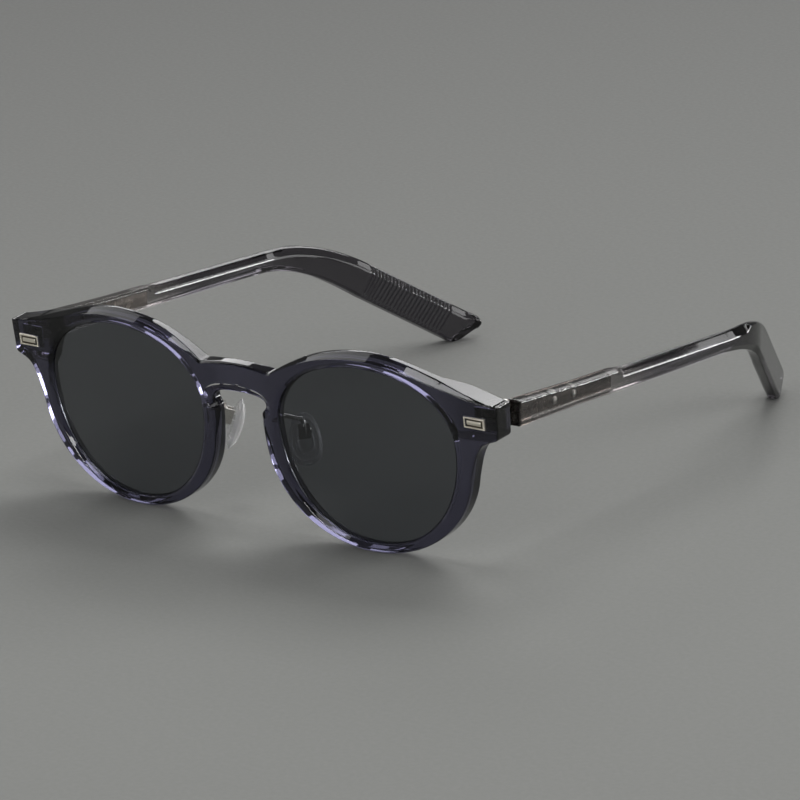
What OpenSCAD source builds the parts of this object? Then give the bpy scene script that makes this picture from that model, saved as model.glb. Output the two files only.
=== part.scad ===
// Round acetate sunglasses with a keyhole bridge, metal plaques, barrel hinges and wire pad arms.
// The front is drawn flat, as seen from the front, with +z towards the viewer, and then stood up.
// It faces -Y, the temples run towards +Y, and the wearer's left side is at +X.
// The origin is on the table that the rims and temple tips stand on, under the middle of the part.

/* [Lenses] */
// Width of each lens opening
eye_w = 46.6; // [45:0.2:48]
// Height of each lens opening
eye_h = 40.8; // [39:0.2:42]
// Distance between the two openings where they are widest
eye_gap = 22; // [21:0.2:24]
// Height of the widest level above the middle of the opening
eye_rise = 4.4; // [3:0.2:6]
// Squareness of the opening, where 2 is an ellipse
eye_square = 2.1; // [2:0.05:2.3]
// Thickness of the lens
lens_t = 2; // [1.8:0.1:2.4]
// Depth of the lens groove in the rim
groove_d = 0.6; // [0.4:0.1:0.8]
// Clearance between the lens and the walls of its groove
lens_play = 0.03; // [0.02:0.01:0.05]

/* [Front] */
// Thickness of the rims and the bridge
front_t = 4; // [3.8:0.1:4.6]
// Width over the two end pieces
front_w = 138.8; // [137:0.2:141]
// Radius of the gentle bow of the front
bow_r = 540; // [450:10:700]
// Height of the rim above the opening
rim_top = 3.2; // [3:0.1:3.8]
// Width of the rim at its temple side
rim_side = 3.9; // [3.5:0.1:4.3]
// Height of the rim under the opening
rim_foot = 1.9; // [1.7:0.1:2.4]
// Height of the end piece
end_h = 7.2; // [7:0.1:8]
// Drop of the end piece's top below the crest of the rim
end_drop = 7.7; // [7:0.1:8.5]
// Thickness of the end piece
end_t = 5.5; // [5.2:0.1:6.2]
// Length of the thick part of the end piece
end_l = 9.4; // [9:0.1:10]
// Height of the bridge in its middle
bridge_h = 7; // [6.6:0.1:7.4]
// Thickness of the bridge, less than that of the rims
bridge_t = 3.3; // [3:0.1:3.8]
// Drop of the bridge's top below the crest of the rim
bridge_drop = 6.6; // [6:0.1:7.2]
// Width of the keyhole at its round top
keyhole_w = 14.7; // [14:0.1:15.5]
// Width between the rims at the waist of the keyhole
waist_w = 12.1; // [11.5:0.1:12.8]
// Height of the round top of the keyhole, down to its waist
keyhole_h = 4.3; // [3.9:0.1:4.7]

/* [Plaques] */
// Width of the plaque on each end piece
plaque_w = 5.6; // [5:0.1:6.2]
// Height of the plaque
plaque_h = 2.6; // [2.3:0.1:3]
// Thickness of the plaque
plaque_t = 0.8; // [0.6:0.1:1]
// Depth that the plaque is let into the end piece
plaque_sink = 0.4; // [0.3:0.05:0.5]
// Shift of the plaque towards the lens, from midway between the lens groove and the side of the end piece
plaque_in = 0.1; // [-0.4:0.1:0.6]
// Height of the plaque's middle above the underside of the end piece
plaque_up = 3.1; // [2.8:0.1:3.6]
// Distance between the plaque's two pins
plaque_pins = 3.4; // [3:0.1:3.8]
// Radius of a plaque pin
plaque_pin_r = 0.4; // [0.3:0.05:0.5]
// Length of a plaque pin behind the plaque
plaque_pin_l = 2.4; // [2:0.1:2.8]

/* [Hinges] */
// Radius of the hinge barrels
barrel_r = 1.25; // [1.15:0.05:1.35]
// Height of one of the five barrels
barrel_h = 0.95; // [0.8:0.05:1]
// Gap between two barrels
barrel_gap = 0.05; // [0.03:0.01:0.08]
// Gap between the barrels and the acetate beside them
hinge_gap = 0.22; // [0.18:0.02:0.3]
// Thickness of the hinge leaves
leaf_t = 0.9; // [0.8:0.05:1]
// Length of the leaf in the end piece
front_leaf_l = 6; // [5.5:0.1:6.5]
// Length of the leaf in the temple, from the hinge's axis
temple_leaf_l = 36; // [30:1:40]
// Length of that leaf's wide root
leaf_root_l = 7; // [6:0.5:8]
// Height of the leaf in the temple
temple_leaf_h = 3.2; // [2.8:0.1:3.6]
// Radius of the hinge screw
screw_r = 0.6; // [0.5:0.05:0.7]
// Radial clearance of the screw in the barrels that turn on it
screw_play = 0.03; // [0.02:0.01:0.06]
// Radius of the hinge screw's head
screw_head_r = 0.95; // [0.85:0.05:1.05]
// Height of the hinge screw's head
screw_head_h = 0.45; // [0.4:0.05:0.6]
// Radius of the rivets that hold the leaf in the temple
rivet_r = 0.6; // [0.5:0.05:0.7]
// Radius of the round rivet heads
rivet_head_r = 0.95; // [0.85:0.05:1.05]
// Height of the round rivet heads
rivet_head_h = 0.7; // [0.5:0.05:0.9]
// Distance of the first rivet from the hinge's axis
rivet_at = 15.4; // [13.6:0.2:17]
// Distance between the two rivets
rivet_step = 7; // [6.5:0.5:8]
// Height of the hinge's middle above the middle of the lens openings
hinge_up = 11.8; // [11.2:0.1:12.2]

/* [Temples] */
// Length of the temple from the hinge to its tip, as the temple runs before the bend
temple_l = 135.2; // [131:0.2:139]
// Thickness of the temple
temple_t = 3.6; // [3.4:0.1:4]
// Height of the temple at the hinge
temple_h = 5.9; // [5.8:0.1:6.4]
// Height of the temple's slim middle
temple_mid_h = 4.9; // [4.7:0.1:5.3]
// Height of the temple's tip
tip_h = 8.2; // [7.8:0.1:8.8]
// Distance of the ear bend from the hinge
bend_at = 85.5; // [84:0.5:88]
// Radius along the top of the ear bend
bend_r = 42; // [38:1:46]
// Drop of the tip below the line of the temple
bend_angle = 32.4; // [31.5:0.1:33.5]
// Length over which the temple narrows behind the hinge
taper_l = 24; // [20:1:30]
// Length by which the tip's end is cut back at its foot
tip_slant = 3; // [2.5:0.1:3.5]
// Slope of the temple below the square of the front
droop = 8; // [7.5:0.1:8.5]
// Distance from the hinge at which the temple turns towards the head
hook_at = 80; // [76:1:84]
// Radius of the turn towards the head
hook_r = 40; // [34:1:46]
// Angle of the turn towards the head
hook_angle = 27; // [24:0.5:28]
// Depth of the grip ribs on the inner face of the tip
rib_d = 0.25; // [0.15:0.05:0.35]
// Distance from one grip rib to the next
rib_step = 1; // [0.9:0.05:1.1]
// Distance from the tip's end to the first grip rib
rib_start = 9; // [8:0.5:11]
// Number of grip ribs on each temple
rib_count = 22; // [18:1:24]

/* [Nose pads] */
// Length of each pad
pad_l = 11.9; // [11.4:0.1:12.6]
// Width of each pad
pad_w = 7.4; // [7:0.1:8]
// Thickness of each pad
pad_t = 2; // [1.8:0.1:2.3]
// Radius of the pad's bearing face
pad_face_r = 16; // [14:0.5:20]
// Distance of the pad's middle from the middle plane
pad_x = 10.3; // [10:0.1:10.8]
// Distance of the pad's middle behind the front face
pad_back = 10.6; // [10:0.1:11]
// Height of the pad's middle below the middle of the lens openings
pad_down = 2.7; // [2.2:0.1:3.2]
// Turn of the pad about its long axis
pad_splay = 42; // [38:1:46]
// Forward lean of the pad's foot
pad_lean = 24; // [20:1:28]
// Height of the pad screw above the pad's middle
pivot_up = 1.6; // [1.2:0.1:2]
// Gap between the pad and its box
pad_gap = 0.45; // [0.4:0.05:0.6]
// Radius of the pad's lug round its screw
lug_r = 0.75; // [0.65:0.05:0.8]
// Distance of the wire's root in the rim from the nose side
arm_in = 3.2; // [3:0.1:3.4]
// Height of the wire's root below the waist of the keyhole
arm_low = 1; // [0.6:0.1:1.4]
// Radius of the pad arm's wire
wire_r = 0.55; // [0.45:0.05:0.65]
// Length of the wire's root in the rim
root_l = 2.2; // [1.8:0.1:2.6]
// Length of wire straight out of the back of the rim
arm_out = 1.4; // [1.1:0.1:2]
// Length of wire standing up over the pad box
arm_over = 0.9; // [0.7:0.1:1.4]
// Radius of the wire's bends, along its middle
arm_bend_r = 0.9; // [0.8:0.05:1]
// Length of the pad box
box_l = 3.4; // [3:0.1:3.8]
// Width of the pad box
box_w = 2.6; // [2.4:0.1:2.9]
// Depth of the pad box
box_d = 1.7; // [1.5:0.1:2]
// Wall of the pad box
box_wall = 0.5; // [0.4:0.05:0.6]
// Radius of the pad screw
pad_screw_r = 0.4; // [0.35:0.05:0.5]
// Radial clearance of the pad's lug on its screw
lug_play = 0.04; // [0.03:0.01:0.06]

/* [Hidden] */

// A cut runs this far past the face that it opens.
over = 0.5;
// Segments of one full turn on small round shapes, and on the bowed faces of the front
$fn = 48;
bow_facets = 720;
// Points on one curve of an outline, and on one lens opening
curve_points = 9;
oval_points = 72;
// Clearance round pieces that are let into or pressed into the acetate
let_in = 0.03;

// Colours
acetate = [0.2, 0.2, 0.28, 0.6];
smoke = [0.35, 0.34, 0.36, 0.6];
grey_lens = [0.2, 0.21, 0.22, 0.7];
champagne = [0.78, 0.76, 0.68];
nickel = [0.8, 0.8, 0.8];
clear_pvc = [0.85, 0.88, 0.9, 0.5];

// Middle of the left opening, and its reach up and down from the level where it is widest
eye_x = (eye_w + eye_gap) / 2;
eye_up = eye_h / 2 - eye_rise;
eye_down = eye_h / 2 + eye_rise;

// The rim: half its width, its crest and foot, and the level where it is widest
rim_a = eye_w / 2 + rim_side;
crest = eye_h / 2 + rim_top;
foot = eye_h / 2 + rim_foot;
rim_level = 1.3;
rim_square = 2.04;

// End piece
end_x = front_w / 2;
end_top = crest - end_drop;
end_low = end_top - end_h;

// Bridge and keyhole
bridge_top = crest - bridge_drop;
keyhole_top = bridge_top - bridge_h;
waist_y = keyhole_top - keyhole_h;

// Points of a cubic curve from a to d that starts towards b and arrives from c, without its end
function curve(a, b, c, d, n = curve_points) =
  [for (i = [0:n - 1]) let (t = i / n, s = 1 - t)
    s * s * s * a + 3 * s * s * t * b + 3 * s * t * t * c + t * t * t * d];

// Point that lies the given shares of the way from a to b, across and up
function toward(a, b, across, up) = [a[0] + (b[0] - a[0]) * across, a[1] + (b[1] - a[1]) * up];

// The same outline, and after it its mirror image from the end back to the start
function both_halves(half) =
  concat(half, [for (i = [len(half) - 1:-1:1]) [-half[i][0], half[i][1]]]);

// A point on a squared oval: half width a, and heights up and down from its widest level
function oval_point(a, up, down, square, angle) =
  let (c = cos(angle), s = sin(angle))
  [a * sign(c) * pow(abs(c), 2 / square), (s > 0 ? up : down) * sign(s) * pow(abs(s), 2 / square)];

// The outline of the left opening, grown by the given margin
function eye_outline(margin) =
  [for (i = [0:oval_points - 1])
    [eye_x, eye_rise]
    + oval_point(eye_w / 2 + margin, eye_up + margin, eye_down + margin, eye_square,
        360 * i / oval_points)];

// Lower edge of the left rim, from its temple side round to its nose side
rim_from = -8;
rim_to = -172;
rim_steps = 32;
rim_curve =
  [for (i = [0:rim_steps]) [eye_x, rim_level]
    + oval_point(rim_a, foot, foot + rim_level, rim_square,
        rim_from + (rim_to - rim_from) * i / rim_steps)];

// Left half of the front's outline, from the top of the bridge clockwise to the top of the keyhole
end_round = 0.8;
notch_in = 1.2;
notch_drop = 1;
shoulder_out = 1.2;
heel_in = 0.4;
under_in = 3.9;
under_drop = 1.9;
notch = [eye_gap / 2 - notch_in, bridge_top - notch_drop];
shoulder = [eye_x + shoulder_out, crest];
corner = [end_x, end_top];
heel = [end_x - heel_in, end_low];
under = [end_x - under_in, end_low - under_drop];
side = rim_curve[0];
nose_side = rim_curve[rim_steps];
waist = [waist_w / 2, waist_y];
keyhole_side = [keyhole_w / 2, waist_y + keyhole_h / 2];
middle_top = [0, bridge_top];
middle_low = [0, keyhole_top];
half_outline = concat(
  curve(middle_top, toward(middle_top, notch, 0.4, 0), toward(notch, middle_top, 0.3, 0.6), notch),
  curve(notch, toward(notch, shoulder, 0.28, 0.6), toward(shoulder, notch, 0.41, 0), shoulder),
  curve(shoulder, toward(shoulder, corner, 0.31, 0), toward(corner, shoulder, 0.425, 0.35),
    corner - [end_round, 0]),
  curve(corner - [end_round, 0], corner, corner, corner - [0, end_round], 4),
  [toward(heel, corner, 0.25, 0.11)],
  curve(heel, toward(heel, under, 0.06, 0.53), toward(under, heel, 0.57, 0.53), under),
  curve(under, toward(under, side, 0.56, 0.12), toward(side, under, 0.21, 0.36), side, 7),
  rim_curve,
  curve(nose_side, toward(nose_side, waist, 0.61, 0.44), toward(waist, nose_side, 0, 0.31), waist, 6),
  curve(waist, toward(waist, keyhole_side, 0, 0.34), toward(keyhole_side, waist, 0, 0.47),
    keyhole_side, 5),
  curve(keyhole_side, toward(keyhole_side, middle_low, 0, 0.88),
    toward(middle_low, keyhole_side, 0.5, 0), middle_low)
);

// Depth of the bowed front face behind its middle, at a distance from the middle plane
function bow(x) = bow_r - sqrt(bow_r * bow_r - x * x);

// Hinge: its axis in the front's own frame, the stack of barrels, and the acetate's distance from the axis
butt = barrel_r + hinge_gap;
hinge_x = end_x - temple_t + leaf_t / 2;
end_back = bow(hinge_x) + end_t;
hinge_back = end_back + butt;
barrel_step = barrel_h + barrel_gap;
stack_h = 5 * barrel_h + 4 * barrel_gap;

// Faces of the temple, from the hinge axis outwards
outer_x = end_x - hinge_x;
inner_x = outer_x - temple_t;

// Temple from its side, as distance behind the hinge axis and height over it
mid_z = temple_mid_h / 2;
tip_dir = [cos(bend_angle), -sin(bend_angle)];
tip_down = [-sin(bend_angle), -cos(bend_angle)];
bend_steps = 9;
bend_arc =
  [for (i = [0:bend_steps]) let (a = bend_angle * i / bend_steps)
    [bend_at + bend_r * sin(a), mid_z - bend_r * (1 - cos(a))]];
bend_end = bend_arc[bend_steps];
tip_top = bend_end + tip_dir * (temple_l - bend_end[0]) / tip_dir[0];
tip_heel = tip_top + tip_down * tip_h - tip_dir * tip_slant;
tip_l = norm(tip_top - bend_end);
tip_round = 3;
bend_ease = 8;
throat = tip_heel - tip_dir * (tip_l - tip_slant - bend_ease / 2);
heel_curve =
  curve(tip_heel + (tip_top - tip_heel) * 0.35, tip_heel, tip_heel, tip_heel - tip_dir * tip_round, 6);
side_outline = concat(
  [[butt, temple_h / 2], [taper_l, mid_z]],
  bend_arc,
  curve(tip_top - tip_dir * tip_round, tip_top, tip_top, tip_top + (tip_heel - tip_top) * 0.3, 5),
  heel_curve,
  [tip_heel - tip_dir * tip_round],
  curve(throat, throat - tip_dir * bend_ease, [bend_at + bend_ease, -mid_z], [bend_at - bend_ease, -mid_z]),
  [[bend_at - bend_ease, -mid_z], [taper_l, -mid_z], [butt, -temple_h / 2]]
);

// Temple from above, as distance out from the hinge axis and distance behind it
hook_run = (temple_l - hook_at - hook_r * sin(hook_angle)) / cos(hook_angle) + temple_t;
hook_steps = 8;
function hook_point(inset, angle) =
  [outer_x - hook_r + (hook_r - inset) * cos(angle), hook_at + (hook_r - inset) * sin(angle)];
function hook_line(inset) = concat(
  [[outer_x - inset, butt]],
  [for (i = [0:hook_steps]) hook_point(inset, hook_angle * i / hook_steps)],
  [hook_point(inset, hook_angle) + hook_run * [-sin(hook_angle), cos(hook_angle)]]
);
function backwards(list) = [for (i = [len(list) - 1:-1:0]) list[i]];
plan_outline = concat(hook_line(0), backwards(hook_line(temple_t)));

// A point of the temple's side view in the front's frame, as depth behind the front and height
function hung(p) = [
  hinge_back + p[0] * cos(droop) + p[1] * sin(droop),
  hinge_up - p[0] * sin(droop) + p[1] * cos(droop)
];

// The front leans forward until the rims' feet and the tips' heels stand on one table
foot_back = bow(eye_x);
hung_outline = [for (p = side_outline) if (p[0] > bend_at) hung(p)];
front_lean = max([for (p = hung_outline) atan((-foot - p[1]) / (p[0] - foot_back))]);

// Lift of the lens openings' middle over the table, and depth of the origin behind the front
foot_lift = foot * cos(front_lean) - foot_back * sin(front_lean);
front_y = -bridge_top * sin(front_lean);
tip_y = max([for (p = hung_outline) p[0] * cos(front_lean) - p[1] * sin(front_lean)]);
origin_y = (front_y + tip_y) / 2;

// Lens groove, as depths behind the front face
groove_front = (front_t - lens_t) / 2 - lens_play;
groove_back = groove_front + lens_t + 2 * lens_play;

// Plaque: its middle, and the floor that it is let in to
plaque_x = (eye_x + eye_w / 2 + groove_d + end_x) / 2 - plaque_in;
plaque_y = end_low + plaque_up;
plaque_z = -bow(plaque_x) - plaque_sink;

// Root of the pad arm in the back of the rim
arm_x = waist_w / 2 + arm_in;
arm_at = [arm_x, waist_y - arm_low, -bow(arm_x) - front_t];

// Depth that the wire is brazed into the box, and the pad's pivot in its own frame
braze = 0.15;
pivot = [0, pivot_up, pad_t / 2 + pad_gap + box_d / 2];

// Stands the flat drawing up, with the forward lean
module stand() {
  translate([0, -origin_y, foot_lift])
    rotate([90 + front_lean, 0, 0])
      children();
}

// Draws a left piece in the front's frame, or its mirror image on the right
module on_front(right) {
  stand()
    mirror([right ? 1 : 0, 0, 0])
      children();
}

// Both mirror images of a left piece
module both_sides() {
  for (m = [0, 1])
    mirror([m, 0, 0])
      children();
}

// A flat outline as a bowed sheet between two depths behind the front face
module bowed_sheet(near, far) {
  reach = 2 * foot;
  intersection() {
    translate([0, 0, -far - bow(end_x) - over])
      linear_extrude(far + bow(end_x) + 2 * over)
        children();
    rotate([90, 0, 0])
      translate([0, -bow_r, -reach])
        linear_extrude(2 * reach)
          difference() {
            circle(bow_r - near, $fn = bow_facets);
            circle(bow_r - far, $fn = bow_facets);
          }
  }
}

// Both lens openings, grown by the given margin
module eyes(margin) {
  polygon(eye_outline(margin));
  mirror([1, 0]) polygon(eye_outline(margin));
}

// Rims and bridge, before anything is cut into them but the openings
module rims() {
  reach = bow(end_x) + front_t;
  difference() {
    bowed_sheet(0, front_t) polygon(both_halves(half_outline));
    translate([0, 0, -reach - over])
      linear_extrude(reach + 2 * over)
        eyes(0);
    translate([-notch[0], waist_y + keyhole_h / 2, -bow(notch[0]) - front_t - over])
      cube([2 * notch[0], 2 * bridge_h, front_t - bridge_t + bow(notch[0]) + over]);
  }
}

// Thick block behind the left end piece, with the flat face that the hinge lies on
module end_block() {
  block_front = bow(end_x) + over;
  intersection() {
    translate([end_x - end_l, end_low, -end_back])
      cube([end_l, end_h, end_back - block_front]);
    translate([0, 0, -end_back])
      linear_extrude(end_back)
        polygon(half_outline);
  }
}

// The plaque's body and its two pins, grown by a margin, as it lies in the end piece
module plaque_shape(margin, thickness) {
  translate([plaque_x, plaque_y, plaque_z]) {
    linear_extrude(thickness)
      square([plaque_w + 2 * margin, plaque_h + 2 * margin], center = true);
    for (end = [-1, 1])
      translate([end * plaque_pins / 2, 0, -plaque_pin_l - margin])
        cylinder(h = plaque_pin_l + margin + plaque_sink, r = plaque_pin_r + margin);
  }
}

// Frame of the hinge: its origin is on the axis in the middle of the barrels, with +y up the axis
module at_hinge() {
  translate([hinge_x, hinge_up, -hinge_back])
    children();
}

// Flat plate of the front leaf, let into the back of the end piece
module front_leaf_plate(margin) {
  translate([barrel_r - front_leaf_l - margin, -stack_h / 2 - margin, butt])
    cube([front_leaf_l + 2 * margin, stack_h + 2 * margin, leaf_t + margin]);
}

// One hinge barrel with its bore, at its place in the stack from 0 at the bottom, and a web to its leaf
module barrel(place, bore_r) {
  translate([0, place * barrel_step - stack_h / 2, 0])
    rotate([-90, 0, 0])
      difference() {
        union() {
          cylinder(h = barrel_h, r = barrel_r);
          children();
        }
        translate([0, 0, -over])
          cylinder(h = barrel_h + 2 * over, r = bore_r);
      }
}

// The pad arm's root in the rim
module arm_root(margin) {
  translate(arm_at)
    cylinder(h = root_l + margin, r = wire_r + margin);
}

module front_frame() {
  color(acetate)
    stand()
      difference() {
        union() {
          rims();
          both_sides() end_block();
        }
        bowed_sheet(groove_front, groove_back) eyes(groove_d);
        both_sides() {
          plaque_shape(let_in, plaque_sink + over);
          at_hinge() front_leaf_plate(let_in);
          arm_root(let_in);
        }
      }
}

module lens(right) {
  color(grey_lens)
    on_front(right)
      bowed_sheet(groove_front + lens_play, groove_back - lens_play)
        polygon(eye_outline(groove_d - lens_play));
}

module plaque(right) {
  color(champagne)
    on_front(right)
      plaque_shape(0, plaque_t);
}

module front_hinge(right) {
  color(nickel)
    on_front(right)
      at_hinge() {
        front_leaf_plate(0);
        for (place = [1, 3])
          barrel(place, screw_r)
            translate([-barrel_r, -butt - leaf_t / 2, 0])
              cube([2 * barrel_r, butt + leaf_t / 2, barrel_h]);
      }
}

// Screw along the hinge axis, with a slotted head on top
module hinge_screw(right) {
  slot_w = 0.25;
  slot_d = 0.2;
  color(nickel)
    on_front(right)
      at_hinge()
        translate([0, -stack_h / 2, 0])
          rotate([-90, 0, 0])
            difference() {
              union() {
                cylinder(h = stack_h + screw_head_h, r = screw_r);
                translate([0, 0, stack_h + barrel_gap])
                  cylinder(h = screw_head_h, r = screw_head_r);
              }
              translate([-screw_head_r, -slot_w / 2, stack_h + barrel_gap + screw_head_h - slot_d])
                cube([2 * screw_head_r, slot_w, slot_d + over]);
            }
}

// Frame of the temple: its origin is the hinge's, +x is outwards, +y runs back along the temple
module at_temple(right) {
  on_front(right)
    at_hinge()
      rotate([-90 - droop, 0, 0])
        children();
}

// Leaf in the inner face of the temple, grown by a margin: a wide root and a long tongue
module temple_leaf(margin, depth) {
  root_h = stack_h + 0.5;
  for (part = [[leaf_root_l, root_h], [temple_leaf_l, temple_leaf_h]])
    translate([inner_x + leaf_t - depth, butt - margin, -part[1] / 2 - margin])
      cube([depth + margin, part[0] - butt + 2 * margin, part[1] + 2 * margin]);
}

// Both rivets of a temple, with round heads on the outer side of the leaf
module rivets(shank_r, head_r, head_h) {
  for (i = [0, 1])
    translate([inner_x, rivet_at + i * rivet_step, 0])
      rotate([0, 90, 0]) {
        cylinder(h = leaf_t + head_h / 2, r = shank_r);
        translate([0, 0, leaf_t])
          cylinder(h = head_h, r = head_r);
      }
}

// Grip ribs: grooves across the inner face of the tip, square to its length
module rib_grooves() {
  for (i = [0:rib_count - 1])
    translate(concat(rib_place(i), rib_z(i)))
      rotate([0, 0, hook_angle])
        rotate([-bend_angle, 0, 0])
          translate([-over, -rib_step / 4, -tip_h])
            cube([over + rib_d, rib_step / 2, 2 * tip_h]);
}
// Place of a grip rib on the inner face, seen from above
function rib_place(i) =
  let (run = hook_run - temple_t - rib_start - i * rib_step * cos(bend_angle))
  hook_point(temple_t, hook_angle) + run * [-sin(hook_angle), cos(hook_angle)];

// Height of the tip's middle line at a grip rib
function rib_z(i) = tip_top[1] - tip_h / 2 * cos(bend_angle)
  + (rib_start / cos(bend_angle) + i * rib_step) * cos(hook_angle) * sin(bend_angle);

module temple(right) {
  reach = hook_r;
  color(smoke)
    at_temple(right)
      difference() {
        intersection() {
          translate([outer_x - 2 * reach, 0, 0])
            rotate([90, 0, 90])
              linear_extrude(2 * reach)
                polygon(side_outline);
          translate([0, 0, -reach])
            linear_extrude(2 * reach)
              polygon(plan_outline);
        }
        temple_leaf(let_in, leaf_t + over);
        rivets(rivet_r, rivet_head_r + let_in, rivet_head_h + let_in);
        rib_grooves();
      }
}

module temple_hinge(right) {
  color(nickel)
    at_temple(right)
      difference() {
        union() {
          temple_leaf(0, leaf_t);
          rotate([90 + droop, 0, 0])
            for (place = [0, 2, 4])
              barrel(place, screw_r + screw_play)
                translate([inner_x, 0, 0])
                  cube([leaf_t, butt + leaf_t / 2, barrel_h]);
        }
        rivets(rivet_r + let_in, rivet_r, over);
      }
}

module temple_rivets(right) {
  color(nickel)
    at_temple(right)
      rivets(rivet_r, rivet_head_r, rivet_head_h);
}

// Frame of the pad: its origin is in the middle of the pad, +y up its length and +z towards its arm
module at_pad(right) {
  on_front(right)
    translate([pad_x, -pad_down, -pad_back])
      rotate([0, pad_splay, 0])
        rotate([-pad_lean, 0, 0])
          children();
}

// Right half of the pad's teardrop, from its narrow top to its wide foot
pad_half = concat(
  curve([0, pad_l / 2], [pad_w * 0.36, pad_l / 2], [pad_w / 2, pad_l * 0.16], [pad_w / 2, -pad_l * 0.12]),
  curve([pad_w / 2, -pad_l * 0.12], [pad_w / 2, -pad_l * 0.4], [pad_w * 0.3, -pad_l / 2], [0, -pad_l / 2])
);

// Clear pad with a rounded bearing face and a lug that turns on the pad screw
module nose_pad(right) {
  lug_w = box_w - 2 * box_wall - 2 * lug_play;
  color(clear_pvc)
    at_pad(right)
      difference() {
        union() {
          intersection() {
            translate([0, 0, -pad_t / 2])
              linear_extrude(pad_t)
                polygon(concat(pad_half, [[0, -pad_l / 2]], [for (p = backwards(pad_half)) [-p[0], p[1]]]));
            translate([0, 0, pad_face_r - pad_t / 2])
              sphere(pad_face_r, $fn = 180);
          }
          translate([-lug_w / 2, pivot[1] - lug_r, 0])
            cube([lug_w, 2 * lug_r, pivot[2]]);
          translate(pivot)
            rotate([0, 90, 0])
              cylinder(h = lug_w, r = lug_r, center = true);
        }
        translate(pivot)
          rotate([0, 90, 0])
            cylinder(h = pad_w, r = pad_screw_r + lug_play, center = true);
      }
}

// Box round the pad's lug, open towards the pad and at both ends
module pad_box(right) {
  color(nickel)
    at_pad(right)
      translate(pivot)
        difference() {
          translate([-box_w / 2, -box_l / 2, -box_d / 2])
            cube([box_w, box_l, box_d + box_wall]);
          translate([-box_w / 2 + box_wall, -box_l / 2 - over, -box_d / 2 - over])
            cube([box_w - 2 * box_wall, box_l + 2 * over, box_d + over]);
          rotate([0, 90, 0])
            cylinder(h = 2 * box_w, r = pad_screw_r, center = true);
        }
}

module pad_screw(right) {
  head_r = 0.7;
  head_h = 0.35;
  color(nickel)
    at_pad(right)
      translate(pivot)
        rotate([0, 90, 0]) {
          cylinder(h = box_w, r = pad_screw_r, center = true);
          translate([0, 0, box_w / 2])
            cylinder(h = head_h, r = head_r);
        }
}

// A point of the pad's frame in the front's frame
function pad_point(p) =
  let (y = p[1] * cos(pad_lean) + p[2] * sin(pad_lean))
  let (z = p[2] * cos(pad_lean) - p[1] * sin(pad_lean))
  [
    pad_x + p[0] * cos(pad_splay) + z * sin(pad_splay),
    y - pad_down,
    z * cos(pad_splay) - p[0] * sin(pad_splay) - pad_back
  ];

// Corners of the pad arm's wire: from its root in the rim out behind it, over the box, and down along
// the box's back, where the wire is brazed a little way into the wall
wire_seat = box_d / 2 + box_wall + wire_r - braze;
arm_path = [
  arm_at + [0, 0, root_l],
  arm_at - [0, 0, arm_out],
  pad_point(pivot + [0, box_l / 2 + arm_over, wire_seat]),
  pad_point(pivot + [0, -box_l / 4, wire_seat])
];
function unit(v) = v / norm(v);
function way(i) = unit(arm_path[i + 1] - arm_path[i]);

// Points along the round bend of the wire at one of those corners, each with its direction
bend_rings = 6;
function bend_points(i) =
  let (to = way(i - 1), turn = acos(to * way(i)))
  let (inwards = unit(way(i) - (to * way(i)) * to))
  let (start = arm_path[i] - to * arm_bend_r * tan(turn / 2))
  [for (k = [0:bend_rings]) let (a = turn * k / bend_rings)
    [start + arm_bend_r * (to * sin(a) + inwards * (1 - cos(a))), to * cos(a) + inwards * sin(a)]];
arm_line = concat([[arm_path[0], way(0)]], bend_points(1), bend_points(2), [[arm_path[3], way(2)]]);

// The ring of the wire's surface round one point of its line
wire_sides = 16;
function ring(point, to) =
  let (u = unit(cross([1, 0, 0], to)), v = cross(to, u))
  [for (k = [0:wire_sides - 1])
    point + wire_r * (u * cos(360 * k / wire_sides) + v * sin(360 * k / wire_sides))];

module pad_arm(right) {
  last = len(arm_line) - 1;
  color(nickel)
    on_front(right)
      polyhedron(
        points = [for (p = arm_line) each ring(p[0], p[1])],
        faces = concat(
          [[for (k = [0:wire_sides - 1]) k]],
          [for (i = [0:last - 1], k = [0:wire_sides - 1], half = [0, 1])
            let (here = i * wire_sides, next = (k + 1) % wire_sides, there = here + wire_sides)
            half == 0 ? [here + k, there + k, there + next] : [here + k, there + next, here + next]],
          [[for (k = [wire_sides - 1:-1:0]) last * wire_sides + k]]
        )
      );
}

front_frame();
lens(false);  // left_lens
lens(true);  // right_lens
plaque(false);  // left_plaque
plaque(true);  // right_plaque
front_hinge(false);  // left_front_hinge
front_hinge(true);  // right_front_hinge
hinge_screw(false);  // left_hinge_screw
hinge_screw(true);  // right_hinge_screw
temple(false);  // left_temple
temple(true);  // right_temple
temple_hinge(false);  // left_temple_hinge
temple_hinge(true);  // right_temple_hinge
temple_rivets(false);  // left_temple_rivets
temple_rivets(true);  // right_temple_rivets
pad_arm(false);  // left_pad_arm
pad_arm(true);  // right_pad_arm
pad_box(false);  // left_pad_box
pad_box(true);  // right_pad_box
pad_screw(false);  // left_pad_screw
pad_screw(true);  // right_pad_screw
nose_pad(false);  // left_nose_pad
nose_pad(true);  // right_nose_pad
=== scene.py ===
"""Round acetate sunglasses with a keyhole bridge, open on a grey studio table.

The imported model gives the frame, the joints and the small metal parts. The acetate, the lenses, the
plaques, the rivets, the pads and their wires are made again here as polished surfaces. Drawing sizes are in
millimetres and become metres where a mesh is made.
"""

import math

import bpy
import numpy as np
from mathutils import Matrix, Vector


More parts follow.
